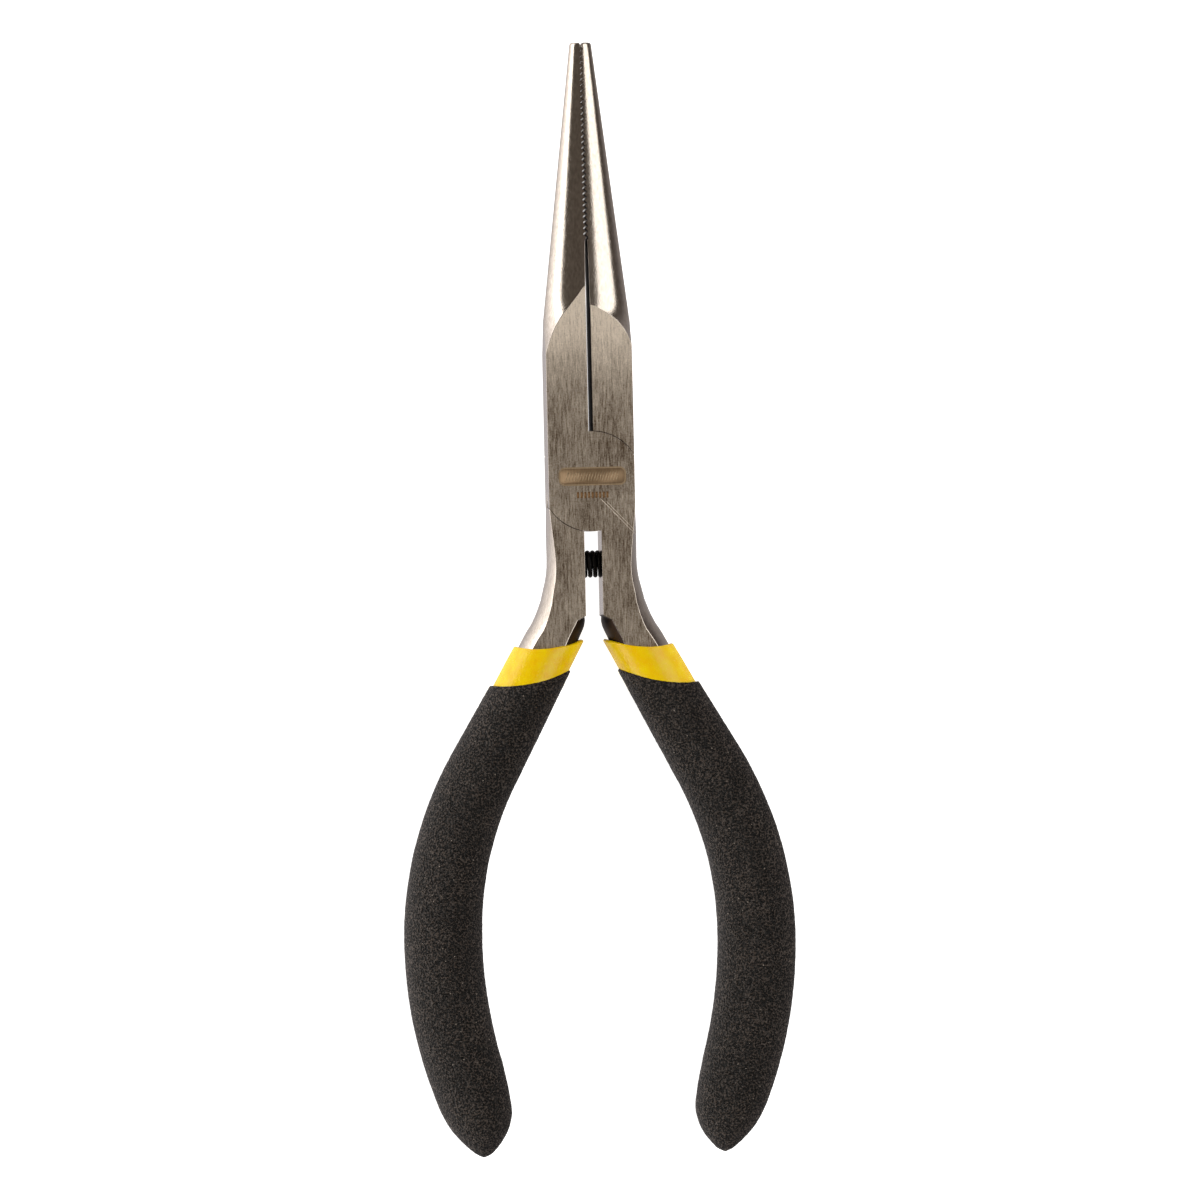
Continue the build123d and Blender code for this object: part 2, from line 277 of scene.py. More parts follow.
def rim_start(surface, rim, around):
    """Distance along the handle at which a surface meets its dipped rim, for each angle around."""
    (x0, y0), (x1, y1), dip = rim
    length = math.dist((x0, y0), (x1, y1))
    run = np.array((x1 - x0, y1 - y0)) / length
    down = np.array((run[1], -run[0]))
    radius = (RIM_HALF_REACH**2 + dip**2) / (2 * dip)
    low, high = (np.full(around.shape, end) for end in RIM_SEARCH)
    for _ in range(RIM_HALVINGS):
        middle = (low + high) / 2
        p = surface(middle, around)
        depth = (p[..., 0] - x0) * down[0] + (p[..., 1] - y0) * down[1]
        height = np.clip(p[..., 2] - MID_Z, -radius * 0.98, radius * 0.98)
        beyond = depth - (radius - np.sqrt(radius**2 - height**2)) > 0
        high = np.where(beyond, middle, high)
        low = np.where(beyond, low, middle)
    return (low + high) / 2


def rim_rings(surface, start, around, thickness, rounding, tuck):
    """Rings of a coat's rounded rim, from inside under the coat, round the lip, to the full coat."""
    rings = [surface(start + tuck, around, thickness)]
    for k in range(RIM_STEPS + 1):
        a = math.pi * k / RIM_STEPS
        along = rounding * (1 - math.sin(a))
        inset = thickness * (1 + math.cos(a)) / 2
        rings.append(surface(start + along, around, inset))
    return rings


# ---------------------------------------------------------------- grips
def cap_rings(columns):
    """Rings of the grip's blunt closed end, behind the last full section."""
    x, y, lean = centreline(np.array(GRIP_CAP_START))
    stations = [(float(x), float(y), float(grip_half_width(GRIP_CAP_START)), float(lean), 1.0)]
    for cx, cy, w in GRIP_CAP:
        stations.append((cx, cy, w, math.radians(-GRIP_CAP_LEAN_RATE * (cy - GRIP_END[1])), 0.0))
    stations.append((*GRIP_END, GRIP_END_HALF_WIDTH, 0.0, 0.0))
    stations = np.array(stations)
    gap = np.hypot(np.diff(stations[:, 0]), np.diff(stations[:, 1]))
    shrink = np.abs(np.diff(stations[:, 2]))
    s = np.concatenate(([0], np.cumsum(np.hypot(gap, shrink))))
    count = int(s[-1] / FOAM_STEP)
    fine = np.linspace(0, s[-1], count + 1)[1:]
    values = [smooth_interp(fine, s, stations[:, k]) for k in range(5)]
    around = np.linspace(0, 2 * math.pi, columns, endpoint=False)
    rings = []
    for cx, cy, w, lean, extra in zip(*values):
        across = w * np.cos(around)
        height = (w * GRIP_HEIGHT_RATIO + GRIP_EXTRA_HEIGHT * extra) * np.sin(around)
        x = cx + across * math.cos(lean)
        y = cy + across * math.sin(lean)
        rings.append(np.stack((x, y, MID_Z + height), axis=-1))
    return rings


def smooth_interp(x, xs, ys):
    """Smooth cubic through the given values."""
    slopes = np.gradient(ys, xs)
    i = np.clip(np.searchsorted(xs, x) - 1, 0, len(xs) - 2)
    h = xs[i + 1] - xs[i]
    u = (x - xs[i]) / h
    h00, h10 = 2 * u**3 - 3 * u**2 + 1, u**3 - 2 * u**2 + u
    h01, h11 = -2 * u**3 + 3 * u**2, u**3 - u**2
    return h00 * ys[i] + h10 * h * slopes[i] + h01 * ys[i + 1] + h11 * h * slopes[i + 1]


def foam_height(p, seed):
    """Height of the foamed coat's pebbled skin at a point, in millimetres."""
    q = Vector((p[0] + seed, p[1], p[2]))
    pebble = noise.noise(q * 2.6)
    grain = noise.noise(q * 5.2 + Vector((7, 3, 1)))
    broad = noise.noise(q * 0.45)
    return 0.030 * grain + 0.022 * pebble + 0.025 * broad


def smooth_grip():
    """Rings of the right grip without its skin: rim, slanted stretch behind it, level stretch, cap."""
    columns = int(GRIP_GIRTH / FOAM_STEP)
    around = np.linspace(0, 2 * math.pi, columns, endpoint=False)
    start = rim_start(grip_surface, GRIP_RIM, around)
    rings = rim_rings(grip_surface, start, around, GRIP_COAT, GRIP_LIP, GRIP_TUCK)
    first = start + GRIP_LIP
    count = int((GRIP_LEVEL_FROM - first.min()) / FOAM_STEP)
    for s in np.linspace(0, 1, count)[1:]:
        rings.append(grip_surface(first + (GRIP_LEVEL_FROM - first) * s, around))
    count = int((GRIP_CAP_START - GRIP_LEVEL_FROM) / FOAM_STEP)
    for t in np.linspace(GRIP_LEVEL_FROM, GRIP_CAP_START, count)[1:]:
        rings.append(grip_surface(np.full(columns, t), around))
    return np.array(rings + cap_rings(columns))


def grip_grid(seed):
    """Rings of the right grip with the pebbled skin pushed in and out, except where it is tucked inside."""
    grid = smooth_grip()
    along = np.gradient(grid, axis=0)
    across = (np.roll(grid, -1, axis=1) - np.roll(grid, 1, axis=1)) / 2
    normal = np.cross(along, across)
    normal /= np.linalg.norm(normal, axis=-1, keepdims=True) + 1e-9
    outward = grid - grid.mean(axis=1, keepdims=True)
    full_ring = 2 * RIM_STEPS + 4
    if np.sum(outward[full_ring] * normal[full_ring]) < 0:
        normal = -normal
    height = np.array([[foam_height(p, seed) for p in ring] for ring in grid])
    height[:RIM_STEPS // 2] = 0
    return grid + normal * height[..., None]


def closed_tube(grid):
    """Points and faces of a tube of rings, with a middle point for each end."""
    points = np.vstack((grid.reshape(-1, 3), grid[0].mean(axis=0), grid[-1].mean(axis=0)))
    return points, tube_faces(*grid.shape[:2])


def make_grip(name, node, body, seed, material, mirrored):
    """Black foamed outer grip. The left one is the right one turned over, with its own skin."""
    points, faces = closed_tube(grip_grid(seed))
    if mirrored:
        points = turned(points)
    obj = new_object(name, points, faces, material, body, node)
    recalc_normals(obj)
    return obj


def recalc_normals(obj):
    """Turns every face outwards."""
    bm = bmesh.new()
    bm.from_mesh(obj.data)
    bmesh.ops.recalc_face_normals(bm, faces=bm.faces)
    bm.to_mesh(obj.data)
    bm.free()


# ---------------------------------------------------------------- collars
def make_collar(name, node, body, seed, material, mirrored):
    """Yellow inner coat: a slightly wavy rounded rim, and a sleeve that runs back under the grip."""
    around = np.linspace(0, 2 * math.pi, COLLAR_COLUMNS, endpoint=False)
    start = rim_start(collar_surface, COLLAR_RIM, around)
    wave = [noise.noise(Vector((2.2 * math.cos(a), 2.2 * math.sin(a), seed))) for a in around]
    start = start + COLLAR_WAVE * np.array(wave)
    rings = rim_rings(collar_surface, start, around, COLLAR_COAT, COLLAR_LIP, COLLAR_TUCK)
    first = start + COLLAR_LIP
    for s in np.linspace(0, 1, COLLAR_ROWS)[1:]:
        rings.append(collar_surface(first + (COLLAR_HIDDEN_END - first) * s, around))
    rings.append(collar_surface(np.full(COLLAR_COLUMNS, COLLAR_HIDDEN_END), around, COLLAR_END_INSET))
    points, faces = closed_tube(np.array(rings))
    if mirrored:
        points = turned(points)
    obj = new_object(name, points, faces, material, body, node)
    recalc_normals(obj)
    return obj


# ---------------------------------------------------------------- spring
def wire_ring(share, turns):
    """Points round the spring's wire, at a share of the way along the coil."""
    a = 2 * math.pi * turns * share
    up, across = SPRING_MEAN_RADIUS * math.sin(a), SPRING_MEAN_RADIUS * math.cos(a)
    along = -SPRING_HALF_LENGTH + 2 * SPRING_HALF_LENGTH * share
    centre = np.array((along, SPRING_Y + across, MID_Z + up))
    tangent = Vector((SPRING_PITCH / (2 * math.pi), -up, across)).normalized()
    outward = Vector((0, math.cos(a), math.sin(a)))
    side = tangent.cross(outward)
    ring = []
    for c in range(SPRING_WIRE_COLUMNS):
        b = 2 * math.pi * c / SPRING_WIRE_COLUMNS
        ring.append(centre + SPRING_WIRE_RADIUS * np.array(outward * math.cos(b) + side * math.sin(b)))
    return ring


def make_spring(material):
    """Close-wound coil."""
    turns = 2 * SPRING_HALF_LENGTH / SPRING_PITCH
    rows = int(turns * SPRING_STEPS_PER_TURN)
    points, faces = closed_tube(np.array([wire_ring(i / rows, turns) for i in range(rows + 1)]))
    obj = new_object("coil_spring", points, faces, material, None, "return_spring")
    recalc_normals(obj)
    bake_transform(obj)
    return obj


# ---------------------------------------------------------------- jaws
def nose_normals(p, crown):
    """Outward normals of the nose's oval surface at points, and how far off that surface they are."""
    slope, flare_start, flare_rate = crown
    x, y, z = p[:, 0], p[:, 1], p[:, 2] - MID_Z
    flare = np.maximum(flare_start - y, 0)
    a = TIP_HALF_WIDTH + NOSE_WIDTH_SLOPE * (TIP_Y - y)
    b = TIP_HALF_THICKNESS + slope * (TIP_Y - y) + flare_rate * flare**2
    a_rate, b_rate = -NOSE_WIDTH_SLOPE, -slope - 2 * flare_rate * flare
    normal = np.stack((x / a**2, -(x**2 * a_rate / a**3 + z**2 * b_rate / b**3), z / b**2), axis=-1)
    normal /= np.linalg.norm(normal, axis=-1, keepdims=True)
    off = np.abs((x / a) ** 2 + (z / b) ** 2 - 1)
    off[(y < NOSE_BASE_Y) | (y > TIP_Y - TIP_ROUNDING)] = 1
    return normal, off


def nose_geometry(bm, crown):
    """Faces of the nose's oval surface, with their edges and corners."""
    normals, off = nose_normals(np.array([v.co for v in bm.verts]) / MM, crown)
    bm.verts.index_update()
    geometry = []
    for face in bm.faces:
        index = [v.index for v in face.verts]
        close = max(off[i] for i in index) < NOSE_TOLERANCE
        if close and face.normal.dot(Vector(normals[index[0]])) > 0.95:
            geometry += [face, *face.edges, *face.verts]
    return list(dict.fromkeys(geometry))


def is_edge(edge):
    """True for an outer edge of the steel that is slightly rounded by finishing."""
    middle = (edge.verts[0].co + edge.verts[1].co) / 2 / MM
    if math.hypot(middle.x, middle.y) < RIVET_AREA or middle.y < HIDDEN_BELOW_Y:
        return False
    return edge.is_manifold and edge.calc_face_angle() > EDGE_ANGLE


def is_lap_edge(edge):
    """True for the sharp edges of the round lap and the clearance beside it."""
    middle = (edge.verts[0].co + edge.verts[1].co) / 2 / MM
    return abs(math.hypot(middle.x, middle.y) - LAP_RADIUS) < LAP_EDGE_BAND


def is_gripping_edge(edge):
    """True for the upper and lower outline of the teeth."""
    middle = (edge.verts[0].co + edge.verts[1].co) / 2 / MM
    level = max(abs(f.normal.z) for f in edge.link_faces)
    wall = min(abs(f.normal.z) for f in edge.link_faces)
    return TEETH_BOTTOM_Y < middle.y < TEETH_TOP_Y and abs(middle.x) < 0.5 and level > 0.9 and wall < 0.2


def read_array(items, attribute, width, kind=np.float32):
    values = np.zeros(len(items) * width, kind)
    items.foreach_get(attribute, values)
    return values.reshape(-1, width) if width > 1 else values


def shaped_normals(mesh, crown):
    """Normals that follow the true surfaces: flat on the ground faces, oval on the nose."""
    corners = read_array(mesh.corner_normals, "vector", 3)
    face_normals = read_array(mesh.polygons, "normal", 3)
    start = read_array(mesh.polygons, "loop_start", 1, np.int32)
    total = read_array(mesh.polygons, "loop_total", 1, np.int32)
    vertex = read_array(mesh.loops, "vertex_index", 1, np.int32)
    normals, off = nose_normals(read_array(mesh.vertices, "co", 3) / MM, crown)
    face_of = np.repeat(np.arange(len(start)), total)
    flat = np.abs(face_normals[:, 2]) > 0.99999
    mean = np.add.reduceat(normals[vertex], start) / total[:, None]
    aligned = (mean * face_normals).sum(axis=1) > 0.985
    curved = ~flat & aligned & (np.maximum.reduceat(off[vertex], start) < NOSE_TOLERANCE)
    on_nose = np.zeros(len(mesh.vertices), bool)
    on_nose[vertex[curved[face_of]]] = True
    leaning = ~flat & (np.abs(face_normals[:, 2]) > 0.25)
    follow = curved[face_of] | (on_nose[vertex] & leaning[face_of])
    corners[follow] = normals[vertex[follow]]
    corners[flat[face_of]] = face_normals[face_of][flat[face_of]]
    mesh.normals_split_custom_set(corners.tolist())


def clean_copy(node):
    """The node's mesh, welded and with its flat faces whole again."""
    bm = bmesh.new()
    bm.from_mesh(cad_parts[node].data)
    bmesh.ops.remove_doubles(bm, verts=bm.verts, dist=WELD_DISTANCE * MM)
    bmesh.ops.dissolve_degenerate(bm, edges=bm.edges, dist=SHORTEST_EDGE * MM)
    bmesh.ops.dissolve_limit(bm, angle_limit=FLAT_ANGLE, verts=bm.verts, edges=bm.edges)
    return bm


def cut_nose(bm, crown):
    """Cuts the long faces of the nose across, between every second tooth, so that they stay well shaped."""
    geometry = nose_geometry(bm, crown)
    for k in range(NOSE_CUTS):
        y = TEETH_TOP_Y - (2 * k + 0.25) * TOOTH_PITCH
        cut = bmesh.ops.bisect_plane(
            bm, geom=geometry, dist=CUT_DISTANCE * MM, plane_co=(0, y * MM, 0), plane_no=(0, 1, 0),
        )
        geometry = cut["geom"]


def round_edges(bm):
    """Rounds the teeth's outline most, the other outer edges a little, and the lap's edges hardly at all."""
    teeth = [e for e in bm.edges if is_gripping_edge(e)]
    lap = [e for e in bm.edges if is_edge(e) and is_lap_edge(e)]
    taken = set(teeth + lap)
    others = [e for e in bm.edges if is_edge(e) and e not in taken]
    sizes = ((others, EDGE_ROUNDING, 2), (lap, LAP_EDGE_ROUNDING, 1), (teeth, TOOTH_ROUNDING, 3))
    for edges, size, segments in sizes:
        edges = [e for e in edges if e.is_valid]
        bmesh.ops.bevel(
            bm, geom=edges, offset=size * MM, offset_type="OFFSET", segments=segments, profile=0.5,
            affect="EDGES", clamp_overlap=False,
        )


def weigh_normals(obj):
    """Replaces the mesh by one whose normals follow its larger faces."""
    weighted = obj.modifiers.new("weighted_normals", "WEIGHTED_NORMAL")
    weighted.weight = 100
    bpy.context.view_layer.update()
    evaluated = obj.evaluated_get(bpy.context.evaluated_depsgraph_get())
    mesh = bpy.data.meshes.new_from_object(evaluated)
    obj.modifiers.clear()
    obj.data = mesh


def make_jaw(name, node, body, crown, material):
    """The forged half with its edges slightly rounded."""
    bm = clean_copy(node)
    cut_nose(bm, crown)
    round_edges(bm)
    mesh = bpy.data.meshes.new(name)
    bm.to_mesh(mesh)
    bm.free()
    mesh.polygons.foreach_set("use_smooth", [True] * len(mesh.polygons))
    mesh.materials.append(material)
    obj = bpy.data.objects.new(name, mesh)
    bpy.context.scene.collection.objects.link(obj)
    weigh_normals(obj)
    shaped_normals(obj.data, crown)
    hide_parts(node)
    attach(obj, body)
    return obj


# ---------------------------------------------------------------- etched mark
def rounded_bar(inset, radius, steps=10):
    """Plan outline of the etched bar with rounded corners, narrowed by inset."""
    cx, cy = BAR_CENTRE
    reach_x, reach_y = ((size - inset) / 2 - radius for size in BAR_SIZE)
    points = []
    for qx, qy, start in ((1, 1, 0), (-1, 1, 90), (-1, -1, 180), (1, -1, 270)):
        for k in range(steps + 1):
            a = math.radians(start + 90 * k / steps)
            x, y = radius * math.cos(a), radius * math.sin(a)
            points.append((cx + qx * reach_x + x, cy + qy * reach_y + y))
    return points


def plate(points, faces, outline, lift):
    """Adds a thin plate on the joint's upper face to the lists."""
    base = len(points)
    n = len(outline)
    points += [(x, y, TOP_Z - PLATE_ROOT) for x, y in outline]
    points += [(x, y, TOP_Z + lift) for x, y in outline]
    faces.append(tuple(base + n + i for i in range(n)))
    faces.append(tuple(base + i for i in reversed(range(n))))
    for i in range(n):
        j = (i + 1) % n
        faces.append((base + i, base + j, base + n + j, base + n + i))


def make_bar(material):
    """Plain etched bar, a generic stand-in with no lettering."""
    points, faces = [], []
    plate(points, faces, rounded_bar(0.0, BAR_CORNER), BAR_LIFT)
    new_object("etched_bar", points, faces, material, LEFT_BODY, None)


def slanted_stroke(x, y, half_width, half_height, slant):
    """Plan outline of a short stroke whose top leans over by slant."""
    return [
        (x - half_width - slant, y - half_height),
        (x + half_width - slant, y - half_height),
        (x + half_width + slant, y + half_height),
        (x - half_width + slant, y + half_height),
    ]


def make_lines(material):
    """The bar's border and the hatch inside it."""
    outer, inner = rounded_bar(0.0, BAR_CORNER), rounded_bar(BAR_BORDER, BAR_INNER_CORNER)
    points = [(x, y, TOP_Z + LINE_LIFT) for x, y in outer + inner]
    n = len(outer)
    faces = [(i, (i + 1) % n, n + (i + 1) % n, n + i) for i in range(n)]
    for k in range(HATCH_COUNT):
        x = BAR_CENTRE[0] + (k - (HATCH_COUNT - 1) / 2) * HATCH_PITCH
        stroke = slanted_stroke(x, BAR_CENTRE[1], HATCH_HALF_WIDTH, HATCH_HALF_HEIGHT, HATCH_SLANT)
        plate(points, faces, stroke, LINE_LIFT)
    new_object("etched_lines", points, faces, material, LEFT_BODY, None)


def make_ticks(material):
    """Row of plain ticks below the bar."""
    points, faces = [], []
    middle, half_height = (TICK_BOTTOM + TICK_TOP) / 2, (TICK_TOP - TICK_BOTTOM) / 2
    for k in range(TICK_COUNT):
        x = BAR_CENTRE[0] + (k - (TICK_COUNT - 1) / 2) * TICK_PITCH
        plate(points, faces, slanted_stroke(x, middle, TICK_HALF_WIDTH, half_height, 0.0), BAR_LIFT)
    new_object("etched_ticks", points, faces, material, LEFT_BODY, None)


def make_witness_line(material):
    """Two fine burrs left by the grinding wheel, running down across the lap."""
    start, end = Vector(WITNESS_LINE[0]), Vector(WITNESS_LINE[1])
    along = (end - start).normalized()
    side = Vector((-along.y, along.x))
    points, faces = [], []
    for offset, half_width, lift, later in WITNESS_BURRS:
        a = start + side * offset + along * later
        b = end + side * offset
        half = side * half_width
        plate(points, faces, [tuple(p) for p in (a - half, b - half, b + half, a + half)], lift)
    new_object("witness_line", points, faces, material, LEFT_BODY, None)


# ---------------------------------------------------------------- materials
class Nodes:
    """Small helper that adds and joins shader nodes."""

    def __init__(self, name):
        self.material = bpy.data.materials.new(name)
        self.material.use_nodes = True
        self.tree = self.material.node_tree
        self.shader = self.tree.nodes["Principled BSDF"]

    def add(self, kind, **inputs):
        """A new node with the named inputs set or joined."""
        node = self.tree.nodes.new(kind)
        for key, value in inputs.items():
            self.put(node, key.replace("_", " "), value)
        return node

    def put(self, node, key, value):
        """Joins another node's output to an input, or sets it to a plain value."""
        socket = node.inputs[int(key)] if key.isdigit() else node.inputs[key]
        if isinstance(value, bpy.types.NodeSocket):
            self.tree.links.new(value, socket)
        else:
            socket.default_value = value

    def set(self, key, value):
        self.put(self.shader, key, value)

    def math(self, operation, a, b=0.0, clamp=False):
        node = self.tree.nodes.new("ShaderNodeMath")
        node.operation = operation
        node.use_clamp = clamp
        self.put(node, "0", a)
        self.put(node, "1", b)
        return node.outputs[0]

    def mapped(self, scale, offset=(0, 0, 0)):
        """Object coordinates in millimetres, stretched by scale."""
        coords = self.tree.nodes.new("ShaderNodeTexCoord").outputs["Object"]
        node = self.tree.nodes.new("ShaderNodeMapping")
        self.put(node, "Vector", coords)
        node.inputs["Scale"].default_value = [s / MM for s in scale]
        node.inputs["Location"].default_value = offset
        return node.outputs[0]

    def noise(self, scale, detail=2.0, roughness=0.5, offset=(0, 0, 0)):
        vector = self.mapped(scale, offset)
        node = self.add("ShaderNodeTexNoise", Vector=vector, Scale=1.0, Detail=detail, Roughness=roughness)
        return node.outputs["Fac"]

    def range(self, value, low, high, out_low=0.0, out_high=1.0, kind="LINEAR"):
        node = self.tree.nodes.new("ShaderNodeMapRange")
        node.interpolation_type = kind
        names = ("Value", "From Min", "From Max", "To Min", "To Max")
        for key, v in zip(names, (value, low, high, out_low, out_high)):
            self.put(node, key, v)
        return node.outputs[0]

    def mix(self, factor, a, b):
        node = self.tree.nodes.new("ShaderNodeMix")
        node.data_type = "RGBA"
        self.put(node, "0", factor)
        self.put(node, "6", a)
        self.put(node, "7", b)
        return node.outputs[2]

    def mix_value(self, factor, a, b):
        node = self.tree.nodes.new("ShaderNodeMix")
        self.put(node, "0", factor)
        self.put(node, "2", a)
        self.put(node, "3", b)
        return node.outputs[0]

    def bump(self, height, distance, strength=1.0):
        """Surface tilt from a height, over a distance in millimetres."""
        return self.add("ShaderNodeBump", Height=height, Distance=distance * MM, Strength=strength).outputs[0]

    def split(self, vector):
        node = self.tree.nodes.new("ShaderNodeSeparateXYZ")
        self.put(node, "0", vector)
        return node.outputs

    def position(self):
        """Place on the piece, in millimetres: x, y, z."""
        place = self.split(self.tree.nodes.new("ShaderNodeTexCoord").outputs["Object"])
        return [self.math("DIVIDE", value, MM) for value in place]

    def level(self):
        """How level the surface is: 1 facing up or down, 0 upright."""
        normal = self.tree.nodes.new("ShaderNodeNewGeometry").outputs["Normal"]
        return self.math("ABSOLUTE", self.split(normal)[2])

    def sideways(self):
        """Sideways part of the surface's direction on the piece itself, from -1 to 1."""
        return self.split(self.tree.nodes.new("ShaderNodeTexCoord").outputs["Normal"])[0]


def linear(value):
    """Linear brightness of one 8-bit screen value."""
    value /= 255
    return value / 12.92 if value <= 0.04045 else ((value + 0.055) / 1.055) ** 2.4


def rgb(r, g, b):
    """Linear colour of an 8-bit screen colour."""
    return linear(r), linear(g), linear(b), 1.0


def grinding_streaks(n):
    """Streaks along the tool, from coarse and fine scratches and a little grit."""
    coarse = n.noise((4.5, 0.40, 4.5), 2.0, 0.6)
    medium = n.noise((9.0, 1.3, 9.0), 2.0, 0.6, (3, 5, 1))
    grit = n.noise((5.5, 5.5, 5.5), 2.0, 0.6, (3, 5, 9))
    streak = n.math("ADD", n.math("MULTIPLY", coarse, 0.42), n.math("MULTIPLY", medium, 0.33))
    return n.math("ADD", streak, n.math("MULTIPLY", grit, 0.25))


def ground_colour_and_painted_light(n, y, streak):
    """Ground face: brown-grey at the joint, with streaks and broad patches, and painted light that makes it
    paler towards the nose.
    """
    broad = n.noise((0.30, 0.16, 0.30), 2.0, 0.5, (1, 9, 4))
    tone = n.math("ADD", n.range(streak, 0.36, 0.64, -0.30, 0.30), n.range(broad, 0.35, 0.65, -0.08, 0.08))
    # Painted light: the ramp along y makes the face paler towards the nose, standing in for how the light
    # falls along it.
    tone = n.math("ADD", tone, n.range(y, 8.0, 20.0, 0.27, 1.0, "SMOOTHSTEP"), clamp=True)
    return n.mix(tone, rgb(98, 82, 65), rgb(255, 243, 226))


def painted_slot_shade(n, x, y, level):
    """1 where painted shade darkens the steel between the jaws: its upright walls, and its rounded edges
    below the arches.
    """
    near = n.range(n.math("ABSOLUTE", x), 0.6, 0.5)
    facing = n.range(n.math("ABSOLUTE", n.sideways()), 0.25, 0.45)
    wall = n.math("MULTIPLY", n.range(level, 0.25, 0.10), facing)
    rounded = n.math("MULTIPLY", n.range(level, 0.98, 0.92), n.range(y, 20.5, 19.5))
    mask = n.math("MULTIPLY", near, n.math("MAXIMUM", wall, rounded))
    return n.math("MULTIPLY", mask, n.range(y, 2.0, 3.0))


def forged_recess(n, x, y, level):
    """1 on the rough forged recess on each handle's inner side, just ahead of its collar."""
    inward = n.range(n.math("MULTIPLY", x, n.sideways()), -0.05, -0.1)
    mask = n.math("MULTIPLY", inward, n.range(y, -15.1, -15.3))
    return n.math("MULTIPLY", mask, n.range(level, 0.86, 0.76))


def steel(name):
    """Satin flanks and nose, flat faces ground along the tool with painted light paler towards the nose,
    painted shade on the steel inside the slot, and the dark forged recess.
    """
    n = Nodes(name)
    n.set("Metallic", 1.0)
    level = n.level()
    flat = n.range(level, 0.9988, 0.9996)
    x, y, _ = n.position()

    streak = grinding_streaks(n)
    satin_noise = n.noise((4.0, 1.6, 4.0), 3.0, 0.6, (2, 2, 8))
    satin = n.mix(n.range(satin_noise, 0.35, 0.65), rgb(196, 186, 176), rgb(214, 205, 195))
    slot_shade = painted_slot_shade(n, x, y, level)
    forged = forged_recess(n, x, y, level)
    colour = n.mix(flat, satin, ground_colour_and_painted_light(n, y, streak))
    # Painted shade: the steel inside the slot is coloured near black.
    colour = n.mix(slot_shade, colour, rgb(44, 40, 36))
    n.set("Base Color", n.mix(forged, colour, rgb(56, 46, 41)))

    rough_ground = n.range(streak, 0.35, 0.65, 0.60, 0.50)
    rough_satin = n.range(satin_noise, 0.3, 0.7, 0.13, 0.20)
    rough = n.mix_value(flat, rough_satin, rough_ground)
    rough = n.mix_value(forged, rough, 0.50)
    n.set("Roughness", n.mix_value(slot_shade, rough, 0.55))

    fuzz = n.noise((8.0, 6.0, 8.0), 2.0, 0.6, (6, 2, 3))
    height = n.math("MULTIPLY", n.mix_value(flat, fuzz, streak), n.mix_value(flat, 0.34, 1.0))
    n.set("Normal", n.bump(height, 0.030, 0.8))
    return n.material


def yellow():
    """Semi-gloss dipped yellow with a fine orange-peel skin."""
    n = Nodes("yellow_dipped_vinyl")
    mottle = n.noise((0.9, 0.9, 0.9), 3.0, 0.55)
    speck = n.noise((6.0, 6.0, 6.0), 1.0, 0.5, (4, 1, 2))
    n.set("Base Color", n.mix(n.range(mottle, 0.3, 0.7), rgb(249, 199, 2), rgb(252, 219, 6)))
    n.set("Roughness", n.range(speck, 0.3, 0.7, 0.18, 0.30))
    n.set("Normal", n.bump(n.math("ADD", speck, n.math("MULTIPLY", mottle, 0.4)), 0.045, 0.9))
    n.set("Specular IOR Level", 0.4)
    return n.material


def foam():
    """Black foamed dip: pebbled skin, with painted shade in the pits and painted highlights on the crests
    that vary in broad patches, and a few small painted glints.
    """
    n = Nodes("black_foam_dip")
    grain = n.noise((4.6, 4.6, 4.6), 0.6, 0.5)
    coarse = n.noise((2.2, 2.2, 2.2), 1.0, 0.5, (4, 7, 2))
    patchy = n.noise((0.30, 0.20, 0.30), 2.0, 0.5, (3, 1, 7))
    mixed = n.math("ADD", n.math("MULTIPLY", grain, 0.88), n.math("MULTIPLY", coarse, 0.12))
    crest = n.range(mixed, 0.45, 0.68)
    relief_light_and_shade = n.math("MULTIPLY", crest, n.range(patchy, 0.40, 0.60, 0.72, 1.0))
    # Painted light and shade of the pebbled skin: darker in the pits, lighter on the crests, varying in broad
    # patches.
    colour = n.mix(relief_light_and_shade, rgb(5, 4, 4), rgb(78, 69, 63))
    # Painted glints: small pale dots, one in each cell.
    cells = n.add("ShaderNodeTexVoronoi", Vector=n.mapped((0.9, 0.9, 0.9), (5, 3, 8)), Scale=1.0)
    painted_glints = n.range(cells.outputs["Distance"], 0.07, 0.05)
    n.set("Base Color", n.mix(painted_glints, colour, rgb(150, 140, 130)))
    n.set("Roughness", n.range(mixed, 0.42, 0.60, 0.55, 0.34))
    n.set("Specular IOR Level", 0.25)
    n.set("Normal", n.bump(mixed, 0.40, 1.0))
    return n.material


def black_wire():
    """Blackened drawn wire."""
    n = Nodes("black_spring_wire")
    drawn = n.noise((8.0, 8.0, 8.0), 2.0, 0.5)
    n.set("Base Color", n.mix(drawn, (0.002, 0.002, 0.002, 1), (0.006, 0.005, 0.005, 1)))
    n.set("Roughness", n.range(drawn, 0.3, 0.7, 0.38, 0.55))
    n.set("Specular IOR Level", 0.2)
    n.set("Normal", n.bump(drawn, 0.004, 0.4))
    return n.material


def etched(name, low, high):
    """Tan heat-marked steel."""
    n = Nodes(name)
    n.set("Metallic", 0.55)
    streak = n.noise((7.0, 0.6, 7.0), 3.0, 0.6)
    n.set("Base Color", n.mix(n.range(streak, 0.3, 0.7), low, high))
    n.set("Roughness", n.range(streak, 0.3, 0.7, 0.42, 0.55))
    return n.material


